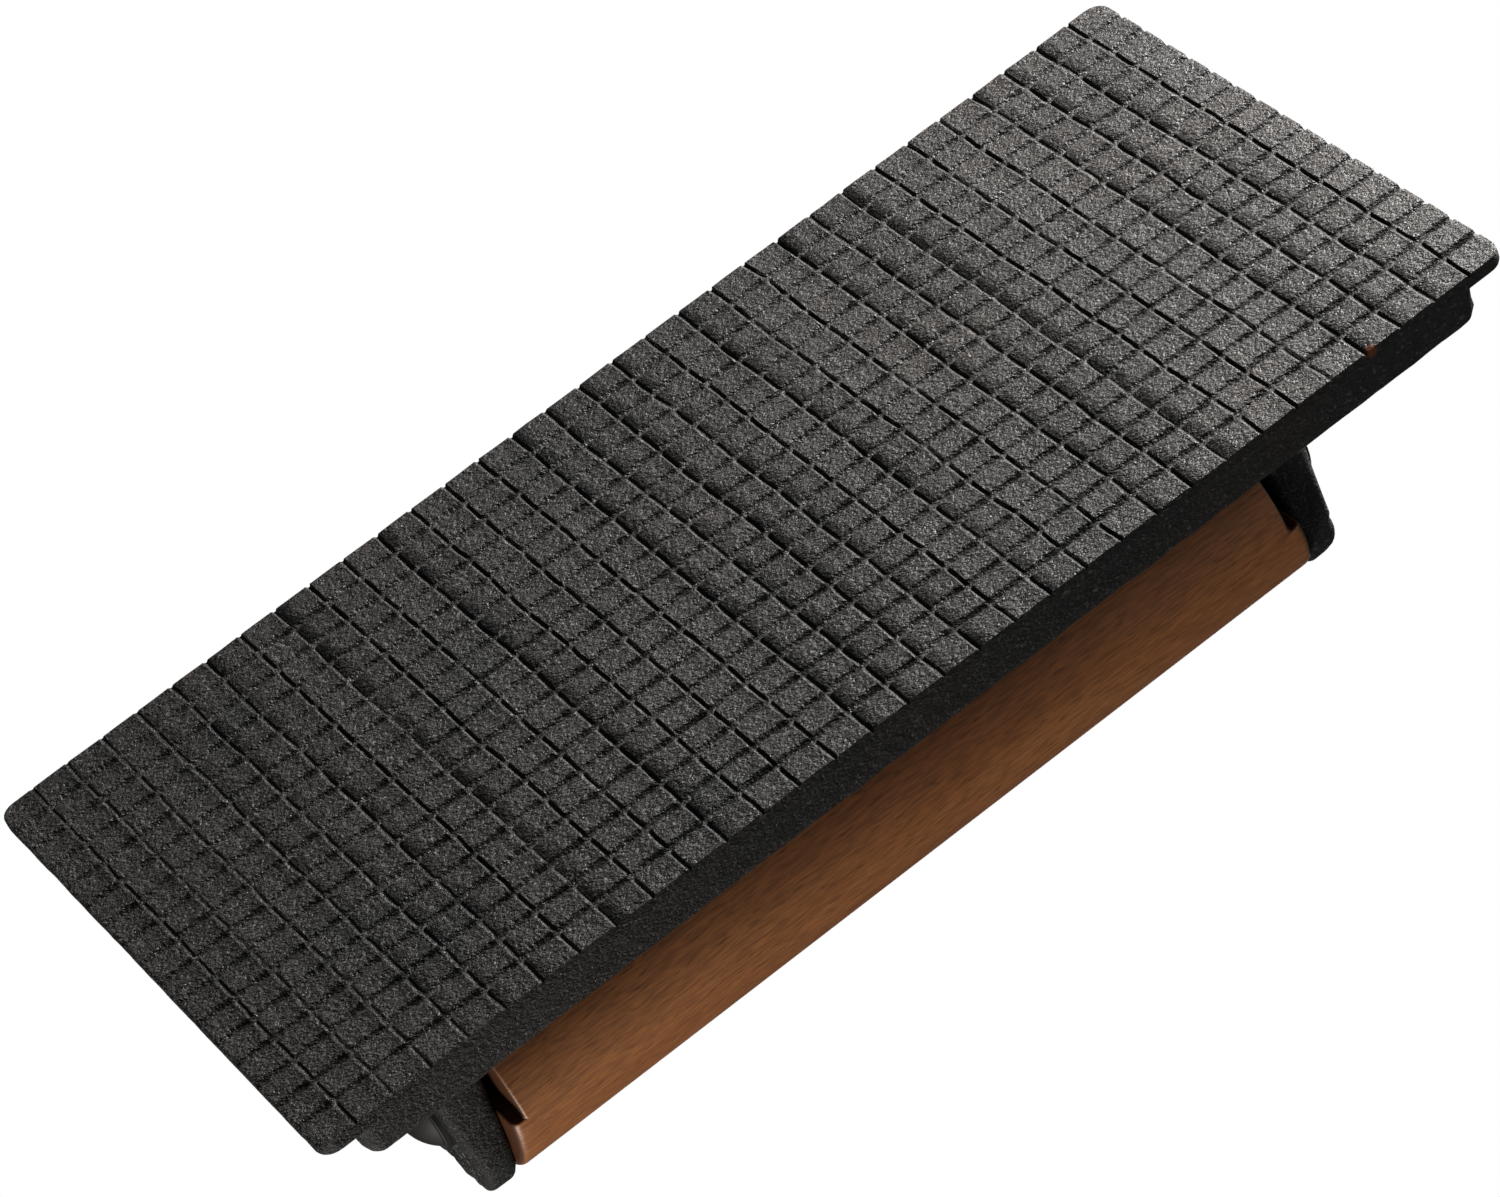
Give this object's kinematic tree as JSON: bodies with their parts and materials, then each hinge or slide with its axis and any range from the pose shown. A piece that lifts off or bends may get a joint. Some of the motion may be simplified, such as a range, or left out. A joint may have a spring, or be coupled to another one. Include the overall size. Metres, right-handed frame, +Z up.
{
  "type": "grill press",
  "caption": "Rectangular cast-iron grill press with a grooved cooking face, two cast lugs and a round wooden handle between them.",
  "frame": {"origin": "middle of the cooking face, on the surface that the press lies on", "axes": "+X along the plate and the handle, +Y across the plate, +Z up from the cooking face to the handle"},
  "size_m": [0.2252, 0.111, 0.0734],
  "materials": {
    "iron": "rough sand-cast iron, seasoned to a dark grey",
    "wood": "turned hardwood, stained mid brown, satin varnish",
    "steel": "dark plated steel"
  },
  "bodies": {
    "root": {"press_plate": "iron", "handle": "wood", "screw_left": "steel", "screw_right": "steel", "washer_left": "steel", "washer_right": "steel"}
  },
  "joints": []
}
